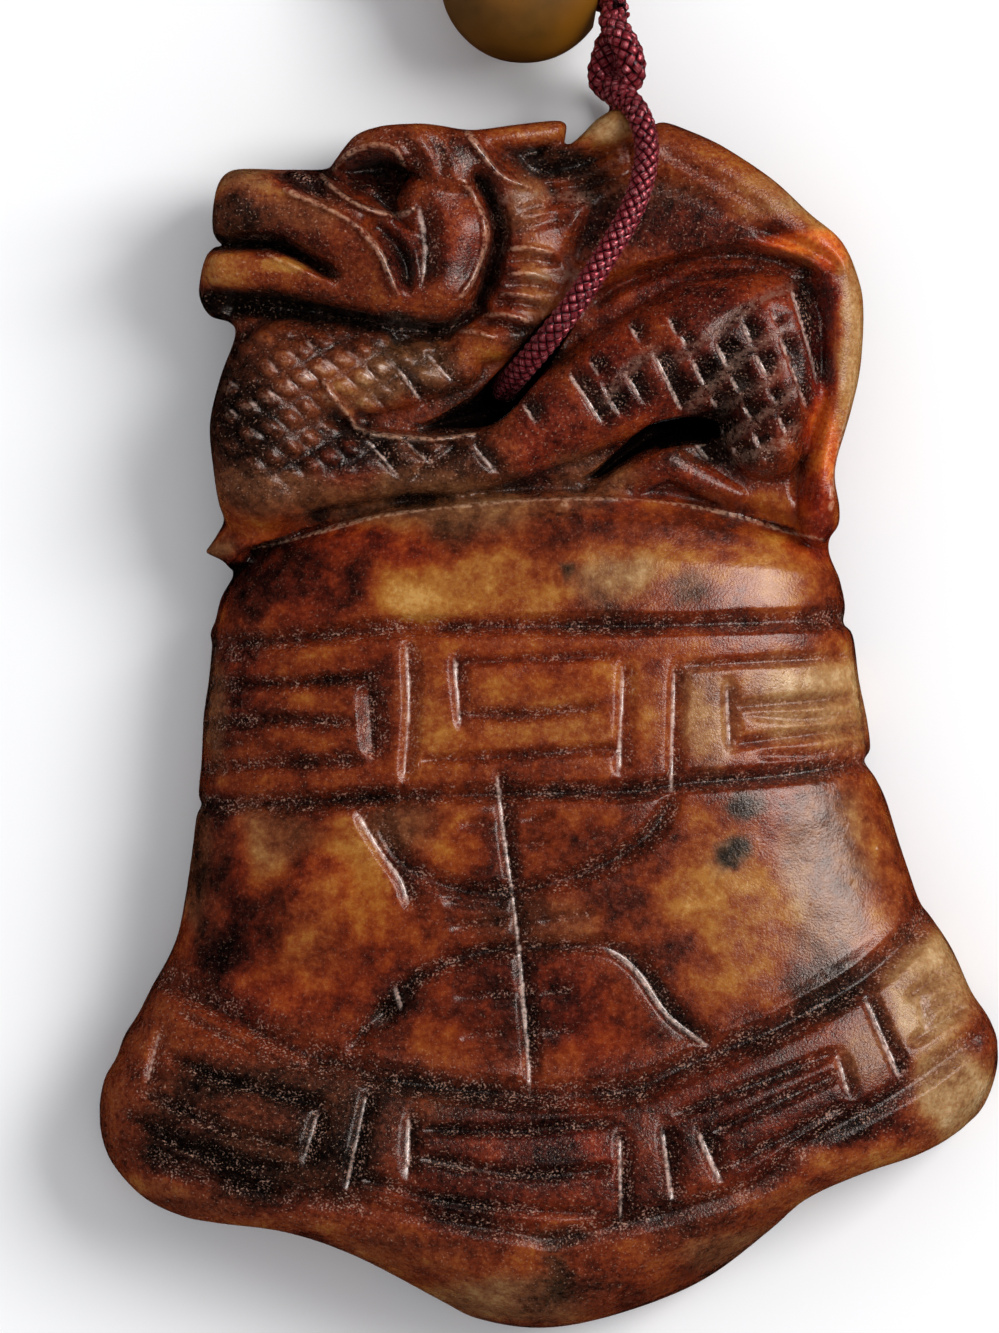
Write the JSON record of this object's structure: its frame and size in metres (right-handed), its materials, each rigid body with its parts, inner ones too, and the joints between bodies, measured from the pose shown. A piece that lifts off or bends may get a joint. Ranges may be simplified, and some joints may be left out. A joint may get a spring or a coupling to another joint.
{
  "type": "carved jade bell pendant on a cord with a bead",
  "caption": "Carved stone pendant shaped as a bell with a coiled dragon on top, tied by a braided cord through a slot, with a round bead above the knot.",
  "frame": {"origin": "centre of the stone's outline, on the surface that its back lies on", "axes": "+Z out of the carved front, +Y from the bell's hem to the dragon, +X to the right as the front is seen"},
  "size_m": [0.0482, 0.0997, 0.012],
  "materials": {
    "stone": "gloss",
    "bead": "satin",
    "cord": "satin"
  },
  "bodies": {
    "root": {"stone": "stone", "bead": "bead", "knot": "cord", "stone_cord": "cord", "bead_cord": "cord"}
  },
  "joints": []
}
